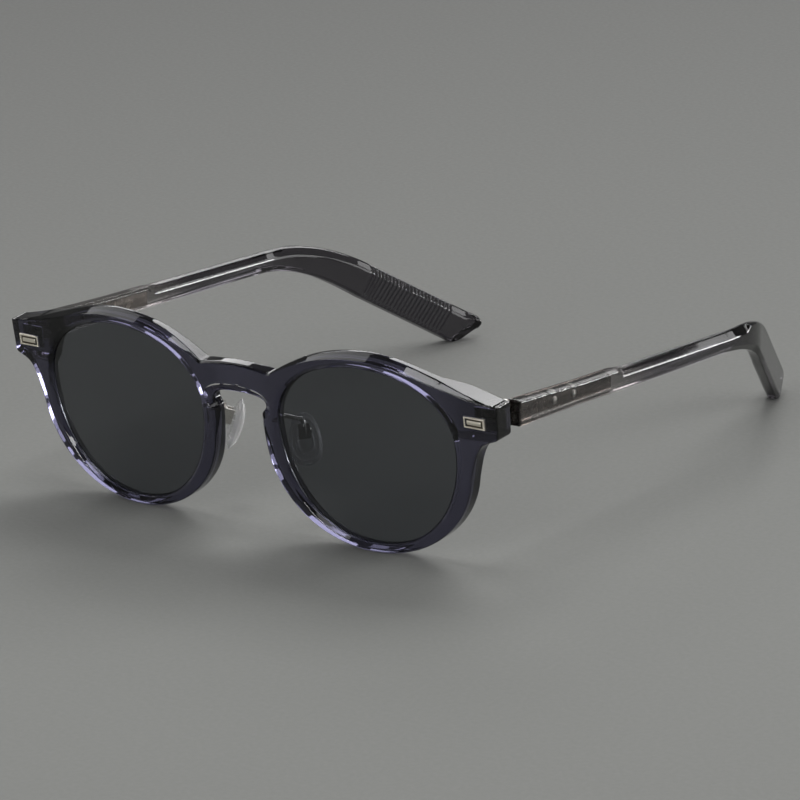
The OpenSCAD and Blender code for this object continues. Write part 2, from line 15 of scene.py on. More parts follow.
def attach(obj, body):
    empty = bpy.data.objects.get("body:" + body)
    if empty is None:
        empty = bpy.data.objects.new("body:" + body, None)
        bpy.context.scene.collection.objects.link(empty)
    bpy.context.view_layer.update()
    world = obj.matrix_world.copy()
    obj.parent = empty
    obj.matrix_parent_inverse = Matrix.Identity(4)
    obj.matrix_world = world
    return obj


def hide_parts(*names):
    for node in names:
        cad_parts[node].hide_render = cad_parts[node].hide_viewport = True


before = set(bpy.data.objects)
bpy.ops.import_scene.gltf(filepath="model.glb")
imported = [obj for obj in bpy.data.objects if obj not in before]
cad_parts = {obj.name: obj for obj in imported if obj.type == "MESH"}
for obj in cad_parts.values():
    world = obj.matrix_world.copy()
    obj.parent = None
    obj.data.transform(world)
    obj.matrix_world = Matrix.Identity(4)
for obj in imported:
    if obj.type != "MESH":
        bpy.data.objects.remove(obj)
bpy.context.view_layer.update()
MM = 0.001

# Stance of the front: it leans forward by LEAN, and its lens middles are LIFT over the table
LEAN = math.radians(4.17179)
ORIGIN_Y = 70.8862
LIFT = 22.1616

# Front, as half of it is drawn to the right of the middle, seen from the camera's side
EYE_X, EYE_UP = 34.3, 4.4
EYE_HALF_W, EYE_TOP, EYE_FOOT, EYE_SQUARE = 23.3, 16.0, 24.8, 2.1
RIM_A, RIM_LEVEL, RIM_SQUARE, FOOT = 27.2, 1.3, 2.04, 22.3
CREST, BRIDGE_TOP, KEYHOLE_TOP, WAIST_Y, WAIST_X, KEYHOLE_X = 23.6, 17.0, 10.0, 5.7, 6.05, 7.35
END_X, END_TOP, END_LOW = 69.4, 15.9, 8.7
BOW_R = 540.0
FRONT_T, BRIDGE_T, END_BACK = 4.0, 3.3, 9.6
LENS_T, GROOVE, GROOVE_PLAY = 2.0, 0.6, 0.03

# Hinge axis in the front's frame, and the temple behind it
HINGE_X, HINGE_UP, HINGE_BACK = 66.25, 11.8, 11.0494
DROOP = math.radians(8)
OUTER_X, TEMPLE_T, BUTT = 3.15, 3.62, 1.47
TEMPLE_H, MID_H, TIP_H, TAPER = 5.9, 4.9, 8.2, 24.0
TEMPLE_L, BEND_AT, BEND_R, BEND = 135.2, 85.5, 42.0, math.radians(32.4)
TIP_SLANT = 3.0
HOOK_AT, HOOK_R, HOOK = 80.0, 40.0, math.radians(27)
TIP_ROUND, END_WORN = 2.2, 0.5
BEVEL_FROM, BEVEL_TO, BEVEL_OPENS = 37, 90, 2.6
RIB_FROM, RIB_TO, RIB_DEEP = 0.6, 23.6, 0.18

# Nose pad: its middle, its turns and the pivot in its lug
PAD_X, PAD_DOWN, PAD_BACK = 10.3, 2.7, 10.6
PAD_SPLAY, PAD_LEAN = math.radians(42), math.radians(24)
PAD_L, PAD_W, PAD_T, PAD_RING, PAD_ROUND = 11.9, 7.4, 2.0, 0.28, 0.25
PIVOT_UP, PIVOT_BACK, LUG_R, LUG_W = 1.6, 2.3, 0.75, 0.74

# Pad arm: its root in the rim, where it starts and first bends behind the face, how far behind the pivot
# it runs, and from how high over the pivot to how low under it
ARM_X, ARM_UP, ARM_IN, ARM_OUT = 9.25, 4.7, 1.88, 5.479
ARM_BOX, ARM_OVER, ARM_FOOT, ARM_BEND, WIRE_R = 1.75, 2.6, 0.85, 0.9, 0.55

LEAF_T, RIVET_AT, RIVET_STEP, RIVET_HEAD, RIVET_RISE = 0.9, 15.4, 7.0, 0.95, 0.64
PLAQUE_X, PLAQUE_Y = 63.7, 11.8
PLAQUE_W, PLAQUE_H, PLAQUE_RISE, PLAQUE_SINK = 5.6, 2.6, 0.4, 0.4

# The lean lifts the plaques by this much, since the bowed front takes them back
PLAQUE_LIFT = 0.24

# Camera of the photograph: its turns in degrees, and in millimetres how far it is moved to its right, over
# and back from the table under the middle of the front
CAMERA_AZIMUTH, CAMERA_HEIGHT, CAMERA_ROLL = 39.1455, 17.4942, -3.1908
CAMERA_RIGHT, CAMERA_OVER, CAMERA_BACK = 34.0812, 29.0019, 1242.9
SENSOR_W, CAMERA_LENS = 36, 252.17


def smooth(start, end, x):
    """0 before start, 1 after end, and between them an S of the form 3t^2 - 2t^3."""
    t = np.clip((np.asarray(x, float) - start) / (end - start), 0, 1)
    return t * t * (3 - 2 * t)


def bow(x):
    """Depth of the bowed front behind its middle: the sagitta of a circle of radius BOW_R at x."""
    return BOW_R - np.sqrt(BOW_R ** 2 - np.square(x))


def stand(x, up, depth):
    """A point of the front's drawing, turned by the forward lean and lifted on to the table."""
    y = -up * math.sin(LEAN) + depth * math.cos(LEAN) - ORIGIN_Y
    z = up * math.cos(LEAN) + depth * math.sin(LEAN) + LIFT
    return np.stack(np.broadcast_arrays(x, y, z), axis=-1)


def hang(out, back, high):
    """A point of a temple, as distance out of the hinge axis, behind it and over it, drooped and stood."""
    up = HINGE_UP - back * math.sin(DROOP) + high * math.cos(DROOP)
    depth = HINGE_BACK + back * math.cos(DROOP) + high * math.sin(DROOP)
    return stand(HINGE_X + out, up, depth)


def seat(across, along, thick):
    """A point of a nose pad, leaned back, splayed about the vertical and moved behind the rim."""
    up = along * math.cos(PAD_LEAN) + thick * math.sin(PAD_LEAN)
    z = thick * math.cos(PAD_LEAN) - along * math.sin(PAD_LEAN)
    x = PAD_X + across * math.cos(PAD_SPLAY) + z * math.sin(PAD_SPLAY)
    return stand(x, up - PAD_DOWN, PAD_BACK - z * math.cos(PAD_SPLAY) + across * math.sin(PAD_SPLAY))


def quads(rows, columns, round_rows=False, round_columns=False):
    """Four-cornered faces between neighbours of a grid of points, closed where a direction is round."""
    rows_used, columns_used = rows - (not round_rows), columns - (not round_columns)
    r, c = np.meshgrid(np.arange(rows_used), np.arange(columns_used), indexing="ij")
    s, d = (r + 1) % rows, (c + 1) % columns
    return np.stack([r * columns + c, s * columns + c, s * columns + d, r * columns + d], -1).reshape(-1, 4)


def closed(points, faces):
    """Joins points of the same place, drops faces without area and turns the shell's faces outwards.

    The tetrahedra from the origin to the faces add up to the volume. Its sign says which way they point.
    """
    _, first, into = np.unique(np.round(points, 4), axis=0, return_index=True, return_inverse=True)
    points, faces = points[first], into.reshape(-1)[faces]
    same = faces == np.roll(faces, -1, axis=1)
    whole = faces[same.sum(1) == 0]
    cut = faces[same.sum(1) == 1]
    cut = cut[~same[same.sum(1) == 1]].reshape(-1, 3) if len(cut) else np.zeros((0, 3), int)
    tris = np.concatenate([whole[:, [0, 1, 2]], whole[:, [0, 2, 3]], cut])
    a, b, c = points[tris[:, 0]], points[tris[:, 1]], points[tris[:, 2]]
    volume = np.einsum("ij,ij->i", a, np.cross(b, c)).sum()
    if volume < 0:
        whole, cut = whole[:, ::-1], cut[:, ::-1]
    used = np.zeros(len(points), bool)
    used[whole.ravel()] = True
    used[cut.ravel()] = True
    place = np.cumsum(used) - 1
    return points[used], [place[whole], place[cut]]


def mirrored(shell):
    """The same shell on the other side of the middle plane: x changes sign and the faces turn over."""
    points, faces = shell
    return points * (-1, 1, 1), [f[:, ::-1] for f in faces]


def eased(corners, radius):
    """Closed sections (n, k, 3) with each corner turned into a small round between two held points.

    The round is a parabola from a point at radius before the corner to one at radius after it. The outer
    held points lie at twice the radius, so that the polish stays flat up to the edge.
    """
    def near(other, share, most):
        """Points that many radii from the corners towards others, at most a given part of the way."""
        gap = other - corners
        length = np.linalg.norm(gap, axis=-1, keepdims=True)
        return corners + gap * np.minimum(share * radius / np.maximum(length, 1e-9), most)
    before, after = np.roll(corners, 1, axis=1), np.roll(corners, -1, axis=1)
    a, b = near(before, 1, 0.3), near(after, 1, 0.3)
    row = [near(before, 2, 0.45), a, (a + 2 * corners + b) / 4, b, near(after, 2, 0.45)]
    return np.stack(row, axis=2).reshape(len(corners), -1, corners.shape[-1])


def mesh(name, shells, material, body, slot, *nodes):
    """One finished piece from closed shells in millimetres, smooth all over, which rides on its body."""
    points = np.concatenate([p for p, _ in shells]) * MM
    starts = np.cumsum([0] + [len(p) for p, _ in shells])
    fours = np.concatenate([f[0] + s for (_, f), s in zip(shells, starts)])
    threes = np.concatenate([f[1] + s for (_, f), s in zip(shells, starts)])
    data = bpy.data.meshes.new(name)
    data.vertices.add(len(points))
    data.vertices.foreach_set("co", points.ravel())
    data.loops.add(fours.size + threes.size)
    data.loops.foreach_set("vertex_index", np.concatenate([fours.ravel(), threes.ravel()]))
    data.polygons.add(len(fours) + len(threes))
    tail = fours.size + 3 * np.arange(len(threes))
    data.polygons.foreach_set("loop_start", np.concatenate([4 * np.arange(len(fours)), tail]))
    data.polygons.foreach_set("use_smooth", np.ones(len(fours) + len(threes), bool))
    data.update(calc_edges=True)
    data.validate()
    data.materials.append(material)
    piece = bpy.data.objects.new(name, data)
    bpy.context.scene.collection.objects.link(piece)
    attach(piece, body)
    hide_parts(*nodes)


def linear(code):
    """sRGB hex as the linear colour that a socket takes."""
    parts = [int(code[i:i + 2], 16) / 255 for i in (1, 3, 5)]
    return tuple(p / 12.92 if p <= 0.04045 else ((p + 0.055) / 1.055) ** 2.4 for p in parts) + (1.0,)


def add(tree, kind, *links, **values):
    """A node of that kind with its settings and socket values.

    Each link is (own input, other node, its output).
    """
    node = tree.nodes.new(kind)
    for key, value in values.items():
        socket = key.replace("_", " ")
        if socket in node.inputs:
            node.inputs[socket].default_value = value
        else:
            setattr(node, key, value)
    for name, other, output in links:
        tree.links.new(other.outputs[output], node.inputs[name])
    return node


def finish(name, grain, bump, low, high, **surface):
    """A polished or satin surface: its roughness wanders between low and high, and it has a shallow bump.

    grain is the size in millimetres of the unevenness that polishing or moulding leaves. bump is its depth.
    """
    material = bpy.data.materials.new(name)
    material.use_nodes = True
    tree = material.node_tree
    tree.nodes.clear()
    place = add(tree, "ShaderNodeTexCoord")
    wander = add(tree, "ShaderNodeTexNoise", ("Vector", place, "Object"),
                 Scale=1 / (grain * MM), Detail=3.0)
    polish = add(tree, "ShaderNodeMapRange", ("Value", wander, "Fac"), From_Min=0.3, From_Max=0.7,
                 To_Min=low, To_Max=high)
    wave = add(tree, "ShaderNodeBump", ("Height", wander, "Fac"), Strength=1.0, Distance=bump * MM)
    shader = add(tree, "ShaderNodeBsdfPrincipled", ("Roughness", polish, "Result"),
                 ("Normal", wave, "Normal"), **surface)
    out = add(tree, "ShaderNodeOutputMaterial", ("Surface", shader, "BSDF"))
    return material, tree, shader, out


def tinted(made, colour, density):
    """Body colour of a clear material: what each metre of it takes away, as one absorption."""
    material, tree, _, out = made
    body = add(tree, "ShaderNodeVolumeAbsorption", Color=colour, Density=density)
    tree.links.new(body.outputs["Volume"], out.inputs["Volume"])
    return material


# Cellulose acetate sheet, tumbled and buffed to a glassy gloss: thin edges light up lavender and the body
# goes navy
front_acetate = tinted(finish("acetate_blue_grey_buffed", 6, 0.004, 0.01, 0.03,
                              Base_Color=linear("#9f9db6"), Transmission_Weight=1.0, IOR=1.49),
                       (0.2, 0.2, 0.28, 1), 400)

# The same sheet in smoke grey for the temples: clear and faintly warm at the hinge, darker towards the tip
temple_acetate = tinted(finish("acetate_smoke_buffed", 6, 0.004, 0.01, 0.03,
                               Transmission_Weight=1.0, IOR=1.49),
                        (0.28, 0.27, 0.27, 1), 230)
smoke = temple_acetate.node_tree
spot = add(smoke, "ShaderNodeSeparateXYZ", ("Vector", smoke.nodes["Texture Coordinate"], "Object"))
fade = add(smoke, "ShaderNodeMapRange", ("Value", spot, "Y"), From_Min=-0.032, From_Max=-0.008)
cast = add(smoke, "ShaderNodeMix", ("Factor", fade, "Result"), data_type="RGBA")
cast.inputs["A"].default_value = linear("#e8e3e1")
cast.inputs["B"].default_value = linear("#757279")
smoke.links.new(cast.outputs["Result"], smoke.nodes["Principled BSDF"].inputs["Base Color"])

# Dyed nylon lens with a hard coat: even neutral grey and mirror-smooth, and it lets a small part of the
# light through
lens_grey, *_ = finish("nylon_lens_grey", 12, 0.0005, 0.0, 0.01, Base_Color=linear("#5d6064"),
                       Transmission_Weight=1.0, IOR=1.53)

# Nickel silver, barrel-polished: warm white metal with fine random wear
nickel, *_ = finish("nickel_silver_polished", 0.5, 0.0006, 0.16, 0.26,
                    Base_Color=linear("#dcd9d4"), Metallic=1.0)

# The leaf inside the temple: the same metal painted a darker grey in streaks that run along it, a painted
# dark reflection
leaf_metal, leaf_tree, leaf_shader, _ = finish("nickel_silver_painted_shade", 2.5, 0.004, 0.2, 0.3,
                                               Metallic=1.0)
leaf_place = add(leaf_tree, "ShaderNodeMapping",
                 ("Vector", leaf_tree.nodes["Texture Coordinate"], "Object"), Scale=(900, 60, 900))
leaf_painted_streak = add(leaf_tree, "ShaderNodeTexNoise", ("Vector", leaf_place, "Vector"), Scale=1.0, Detail=2.0)
leaf_share = add(leaf_tree, "ShaderNodeMapRange", ("Value", leaf_painted_streak, "Fac"),
                 From_Min=0.35, From_Max=0.65)
leaf_painted_shade = add(leaf_tree, "ShaderNodeMix", ("Factor", leaf_share, "Result"), data_type="RGBA")
leaf_painted_shade.inputs["A"].default_value = linear("#6c6763")
leaf_painted_shade.inputs["B"].default_value = linear("#a39d98")
leaf_tree.links.new(leaf_painted_shade.outputs["Result"], leaf_shader.inputs["Base Color"])

# Domed rivet heads of the same metal, painted near white as a painted highlight: a broad soft highlight
rivet_metal_painted_bright, *_ = finish("nickel_silver_domed_painted_bright", 0.6, 0.0005, 0.28, 0.36,
                         Base_Color=linear("#fcfbf8"), Metallic=1.0)

# Champagne-plated brass, stamped and lightly brushed
champagne, plating, plate_shader, _ = finish("brass_champagne_plate", 0.25, 0.002, 0.28, 0.4,
                                             Metallic=1.0)


def block_mask(tree, spot, half_w, half_h):
    """1 inside a rectangle about each plaque's middle and 0 outside it, with an edge 0.1 mm soft."""
    far, soft = [], 0.05
    for axis, middle, half in (("X", PLAQUE_X, half_w), ("Z", LIFT + PLAQUE_Y + PLAQUE_LIFT, half_h)):
        off = add(tree, "ShaderNodeMath", (0, spot, axis), operation="ABSOLUTE")
        off = add(tree, "ShaderNodeMath", (0, off, 0), operation="SUBTRACT")
        off.inputs[1].default_value = middle * MM
        off = add(tree, "ShaderNodeMath", (0, off, 0), operation="ABSOLUTE")
        far.append(add(tree, "ShaderNodeMapRange", ("Value", off, 0), From_Min=(half + soft) * MM,
                       From_Max=(half - soft) * MM))
    return add(tree, "ShaderNodeMath", (0, far[0], "Result"), (1, far[1], "Result"), operation="MULTIPLY")


# The stamped recess is painted dark, a painted shade, and the raised border and bar are painted bright, a
# painted highlight
place = add(plating, "ShaderNodeSeparateXYZ", ("Vector", plating.nodes["Texture Coordinate"], "Object"))
recess = block_mask(plating, place, PLAQUE_W / 2 - 0.5, PLAQUE_H / 2 - 0.4)
bar = block_mask(plating, place, PLAQUE_W / 2 - 0.9, 0.5)
painted_recess_shade = add(plating, "ShaderNodeMath", (0, recess, 0), (1, bar, 0), operation="SUBTRACT")
coat = add(plating, "ShaderNodeMix", ("Factor", painted_recess_shade, 0), data_type="RGBA")
coat.inputs["A"].default_value = linear("#fff8e8")
coat.inputs["B"].default_value = linear("#5e574b")
plating.links.new(coat.outputs["Result"], plate_shader.inputs["Base Color"])

# Clear silicone, moulded: a milky body that glows in back light under a thin wet-looking skin
silicone = tinted(finish("silicone_clear_moulded", 0.8, 0.002, 0.16, 0.22, Base_Color=linear("#ffffff"),
                         Transmission_Weight=0.62, IOR=1.45, Coat_Weight=1.0, Coat_Roughness=0.03),
                  (0.93, 0.94, 0.93, 1), 60)


def bezier(a, b, c, d, shares):
    """Points of a cubic curve from a to d with the handles b and c.

    shares is a count of even steps, which leaves out the end, or the shares of the way themselves.
    """
    t = (np.linspace(0, 1, shares, endpoint=False) if np.isscalar(shares) else shares)[:, None]
    s = 1 - t
    a, b, c, d = (np.array(p, float) for p in (a, b, c, d))
    return s ** 3 * a + 3 * s * s * t * b + 3 * s * t * t * c + t ** 3 * d


def toward(a, b, across, up):
    """The point that lies those shares of the way from a to b, across and up."""
    return (a[0] + (b[0] - a[0]) * across, a[1] + (b[1] - a[1]) * up)


def oval(half_w, top, foot, square, angle):
    """Point of a squared oval at a parameter angle: x = w |cos|^(2/square), y the same with top or foot."""
    c, s = np.cos(angle), np.sin(angle)
    high = np.where(s > 0, top, foot)
    return np.stack([half_w * np.sign(c) * np.abs(c) ** (2 / square),
                     high * np.sign(s) * np.abs(s) ** (2 / square)], axis=-1)


def eye(angle, margin):
    """Edge of the lens opening in a true direction from its middle, grown by a margin.

    Its distance r in the direction (c, s) solves |r c / w|^n + |r s / h|^n = 1.
    """
    c, s = np.cos(angle), np.sin(angle)
    high = np.where(s > 0, EYE_TOP, EYE_FOOT) + margin
    n = EYE_SQUARE
    r = (np.abs(c / (EYE_HALF_W + margin)) ** n + np.abs(s / high) ** n) ** (-1 / n)
    return np.stack([EYE_X + r * c, EYE_UP + r * s], axis=-1)


def outline():
    """Half of the front's outline, clockwise from the top of the bridge, and the station of each point.

    Stations are whole numbers where stretches meet: 0 bridge top, 1 notch, 2 crest, 3 to 4 corner of the
    end piece, 5 its heel, 6 under it, 7 to 8 the lower rim, 9 waist, 10 keyhole side, 11 keyhole top. Seven
    more points climb the seam of the two halves, up to the bridge top again.
    """
    top, low = (0, BRIDGE_TOP), (0, KEYHOLE_TOP)
    notch, crest, corner = (9.8, BRIDGE_TOP - 1), (EYE_X + 1.2, CREST), (END_X, END_TOP)
    heel, under = (END_X - 0.4, END_LOW), (END_X - 3.9, END_LOW - 1.9)
    rim = oval(RIM_A, FOOT, FOOT + RIM_LEVEL, RIM_SQUARE, np.radians(np.linspace(-8, -172, 73)))
    rim += (EYE_X, RIM_LEVEL)
    side, nose = rim[0], rim[-1]
    waist, arch = (WAIST_X, WAIST_Y), (KEYHOLE_X, (WAIST_Y + KEYHOLE_TOP) / 2)
    over, down = (END_X - 0.8, END_TOP), (END_X, END_TOP - 0.8)
    parts = [
        bezier(top, toward(top, notch, 0.4, 0), toward(notch, top, 0.3, 0.6), notch, 14),
        bezier(notch, toward(notch, crest, 0.28, 0.6), toward(crest, notch, 0.41, 0), crest, 30),
        bezier(crest, toward(crest, corner, 0.31, 0), toward(corner, crest, 0.425, 0.35), over, 40),
        bezier(over, corner, corner, down, 8),
        bezier(down, toward(down, heel, 0.3, 0.3), toward(down, heel, 0.7, 0.7), heel, 10),
        bezier(heel, toward(heel, under, 0.06, 0.53), toward(under, heel, 0.57, 0.53), under, 12),
        bezier(under, toward(under, side, 0.56, 0.12), toward(side, under, 0.21, 0.36), side, 16),
        rim[:-1],
        bezier(nose, toward(nose, waist, 0.61, 0.44), toward(waist, nose, 0, 0.31), waist, 14),
        bezier(waist, toward(waist, arch, 0, 0.34), toward(arch, waist, 0, 0.47), arch, 12),
        bezier(arch, toward(arch, low, 0, 0.88), toward(low, arch, 0.5, 0), low, 20),
        [low],
        np.stack([np.zeros(7), np.linspace(12.45, 16.0, 7)], axis=-1),
    ]
    stations = [k + np.linspace(0, 1, len(p), endpoint=False) for k, p in enumerate(parts[:11])]
    stations += [np.array([11.0]), np.linspace(11.3, 11.9, 7)]
    return np.concatenate(parts), np.concatenate(stations)


# Bevels along the outline, as stations and sizes: how far each comes in over the face, and how far it goes
# down the edge. The back's bevel is as wide as it is deep.
FACE_IN = ((0, 1, 1.5, 2, 2.6, 2.95, 5, 6, 7.8, 8, 9, 10, 11),
           (0.4, 0.4, 0.9, 1.2, 0.8, 0.25, 0.25, 0.35, 0.35, 0.4, 1.5, 2.0, 2.0))
FACE_DOWN = ((0, 1, 1.5, 2, 2.6, 2.95, 5, 6, 7.8, 8, 9, 10, 11),
             (0.5, 0.6, 2.2, 2.9, 2.2, 0.25, 0.25, 0.35, 0.35, 0.4, 1.3, 1.3, 1.1))
BACK_EDGE = ((0, 8, 9, 10, 11), (0.3, 0.3, 0.9, 0.5, 0.3))

# Bevels round the lens opening, in front and behind, and how much of a ray two bevels may take together
LENS_BEVEL, LENS_BEVEL_DEEP, BACK_BEVEL, BACK_BEVEL_DEEP = 1.0, 0.75, 0.5, 0.45
BEVELS_SHARE = 0.86


def thickness(flat):
    """Thickness of the front at a point: the rim's, less in the bridge and more at the flat hinge seat."""
    x, up = flat[..., 0], flat[..., 1]
    rim = BRIDGE_T + (FRONT_T - BRIDGE_T) * smooth(4.5, 9.5, x)
    seat_share = smooth(52, 61.8, x) * smooth(6.2, 8.9, up)
    return rim + (END_BACK - bow(x) - rim) * seat_share


def front_half():
    """Grid of the front's right half: rays from the lens middle by sections through the rim.

    Each ray joins a point of the outline to the lens edge. Round the bridge, where the outline doubles
    back, the directions run evenly with its length instead. A section is a closed polygon of bevels, faces
    and lens groove.
    """
    outer, station = outline()
    first = int(np.argmax(station > 1.1))
    outer, station = np.roll(outer, -first, axis=0), np.roll(station, -first)
    way = np.roll(outer, -1, axis=0) - np.roll(outer, 1, axis=0)
    inward = np.stack([way[:, 1], -way[:, 0]], axis=-1) / np.linalg.norm(way, axis=1, keepdims=True)
    inward[station == 0], inward[station == 11] = (0, -1), (0, 1)
    seam = station > 11
    inward[seam] = 0

    angle = np.unwrap(np.arctan2(outer[:, 1] - EYE_UP, outer[:, 0] - EYE_X))
    run = np.concatenate([[0], np.cumsum(np.linalg.norm(np.diff(outer, axis=0), axis=1))])
    back = int(np.argmax((station > 10.3) & (station < 12)))
    total = run[-1] + np.linalg.norm(outer[0] - outer[-1])
    angle[back:] = np.interp(run[back:], (run[back], total), (angle[back], angle[0] - 2 * math.pi))

    edge = eye(angle, 0)
    room = np.linalg.norm(outer - edge, axis=1)
    face_in, face_down = np.interp(station, *FACE_IN), np.interp(station, *FACE_DOWN)
    back_up = np.interp(station, *BACK_EDGE)
    squeeze = np.minimum(1, BEVELS_SHARE * room / (face_in + LENS_BEVEL))
    back_squeeze = np.minimum(1, BEVELS_SHARE * room / (back_up + BACK_BEVEL))
    face_in, bevel = face_in * squeeze, eye(angle, LENS_BEVEL * squeeze)
    back_in, back_bevel = back_up * back_squeeze, eye(angle, BACK_BEVEL * back_squeeze)
    floor = eye(angle, GROOVE)
    face_edge = outer + inward * face_in[:, None]
    # The seam's first point lies nearer the keyhole behind than in front, as the back's bevel is narrower
    first_of_seam = seam & (station < 11.35)
    behind = np.where(first_of_seam[:, None], (0, KEYHOLE_TOP + 0.75), outer)
    back_edge = behind + inward * back_in[:, None]
    wall = np.where(seam, 0, 1)
    groove = (FRONT_T - LENS_T) / 2 - GROOVE_PLAY

    def deep(flat, depth):
        """Points of the drawing, each with its depth behind the face."""
        return np.concatenate([flat, np.broadcast_to(depth, len(flat))[:, None]], axis=1)
    corners = [
        deep(edge, groove), deep(floor, groove),
        deep(floor, FRONT_T - groove), deep(edge, FRONT_T - groove),
        deep(edge, thickness(edge) - BACK_BEVEL_DEEP), deep(back_bevel, thickness(back_bevel)),
    ]
    for share in (0.25, 0.5, 0.75):
        flat = back_bevel + (back_edge - back_bevel) * share
        corners.append(deep(flat, thickness(flat)))
    corners += [deep(back_edge, thickness(back_edge)), deep(behind, thickness(behind) - back_up * wall),
                deep(outer, face_down * wall), deep(face_edge, 0)]
    corners += [deep(face_edge + (bevel - face_edge) * share, 0) for share in (0.33, 0.67)]
    corners += [deep(bevel, 0), deep(edge, LENS_BEVEL_DEEP)]
    corners = np.stack(corners, axis=1)
    # The corners of the back edge, the wall and the face edge stay sharp on the seam, where they meet their
    # mirror image
    radius = np.full(corners.shape[:2] + (1,), 0.2)
    radius[seam, 9:13] = 0
    sections = eased(corners, radius)
    x, up, depth = np.moveaxis(sections, -1, 0)
    points = stand(x, up, bow(x) + depth).reshape(-1, 3)
    faces = quads(*x.shape, round_rows=True, round_columns=True)
    off_seam = points[faces][:, :, 0].max(axis=1) > 1e-6
    return points, faces[off_seam]


def front_shell():
    """Both halves of the front, joined along the middle of the bridge."""
    points, faces = front_half()
    both = np.concatenate([points, points * (-1, 1, 1)])
    return closed(both, np.concatenate([faces, faces[:, ::-1] + len(points)]))


def lens_shell():
    """Lens as rings from its middle over the front face, round the edge and back over the rear face."""
    angle = np.linspace(0, 2 * math.pi, 144, endpoint=False)
    share = np.array([0, 0.15, 0.3, 0.45, 0.6, 0.75, 0.88, 0.96, 0.99, 0.996])
    share = np.concatenate([share, [1, 1], share[::-1]])
    near = (FRONT_T - LENS_T) / 2
    far = near + LENS_T
    depth = np.concatenate([np.full(10, near), [near + 0.12, far - 0.12], np.full(10, far)])
    rim = eye(angle, GROOVE - 0.04) - (EYE_X, EYE_UP)
    flat = rim[:, None] * share[None, :, None] + (EYE_X, EYE_UP)
    points = stand(flat[..., 0], flat[..., 1], bow(flat[..., 0]) + depth)
    return closed(points.reshape(-1, 3), quads(len(angle), len(share), round_rows=True))


def temple_lines():
    """Upper and lower edge of a temple from the side, point for point, and how far along the tip each is.

    Straight and tapered to the bend, round it on a circle above and on a cubic below, then straight to a
    slanted end with round corners. The points lie close together where the ribs are.
    """
    along = np.array([math.cos(BEND), -math.sin(BEND)])
    below = np.array([-math.sin(BEND), -math.cos(BEND)])
    bend_end = np.array([BEND_AT + BEND_R * math.sin(BEND), MID_H / 2 - BEND_R * (1 - math.cos(BEND))])
    tip_l = (TEMPLE_L - bend_end[0]) / along[0]
    ease, step, fine_to = 8.0, 0.125, 24.5
    butt = BUTT + np.array([0, 0.01, 0.04, 0.1, 0.18, 0.3, 0.5, 0.8])
    a = np.concatenate([butt, np.linspace(3, 34, 18), np.linspace(35, 40, 26),
                        np.linspace(41.5, BEND_AT - ease, 20, endpoint=False)])
    half = np.interp(a, (BUTT, TAPER), (TEMPLE_H / 2, MID_H / 2))
    top, low = np.stack([a, half], 1), np.stack([a, -half], 1)

    bent = ease + BEND_R * BEND
    run = np.concatenate([np.linspace(0, bent, 54, endpoint=False),
                          np.arange(bent, bent + ease / 2 - 0.01, step)])
    turn = np.clip((run - ease) / BEND_R, 0, BEND)
    past = np.maximum(run - bent, 0)
    arc = np.stack([BEND_AT - ease + np.minimum(run, ease) + BEND_R * np.sin(turn),
                    MID_H / 2 - BEND_R * (1 - np.cos(turn))], 1) + past[:, None] * along
    throat = bend_end + along * ease / 2 + below * TIP_H
    start, lean = np.array([BEND_AT - ease, -MID_H / 2]), np.array([BEND_AT + ease, -MID_H / 2])
    under = bezier(start, lean, throat - along * ease, throat, run / (bent + ease / 2))

    r = TIP_ROUND
    reach = np.concatenate([np.arange(ease / 2, fine_to, step),
                            np.linspace(fine_to + 0.1, tip_l - r, 20, endpoint=False),
                            tip_l - r * (1 - np.sin(np.linspace(0, math.pi / 2, 12)))])
    lower_reach = reach - TIP_SLANT * smooth(fine_to, 2 * tip_l - fine_to, reach) * 2
    sink = r - np.sqrt(np.maximum(r ** 2 - np.maximum(reach - (tip_l - r), 0) ** 2, 0))
    tip_top = bend_end + along * reach[:, None] + below * sink[:, None]
    tip_low = bend_end + along * lower_reach[:, None] + below * (TIP_H - sink)[:, None]
    tip_run = np.concatenate([np.full(len(a), -bent), run - bent, reach])
    return np.concatenate([top, arc, tip_top]), np.concatenate([low, under, tip_low]), tip_run, tip_l


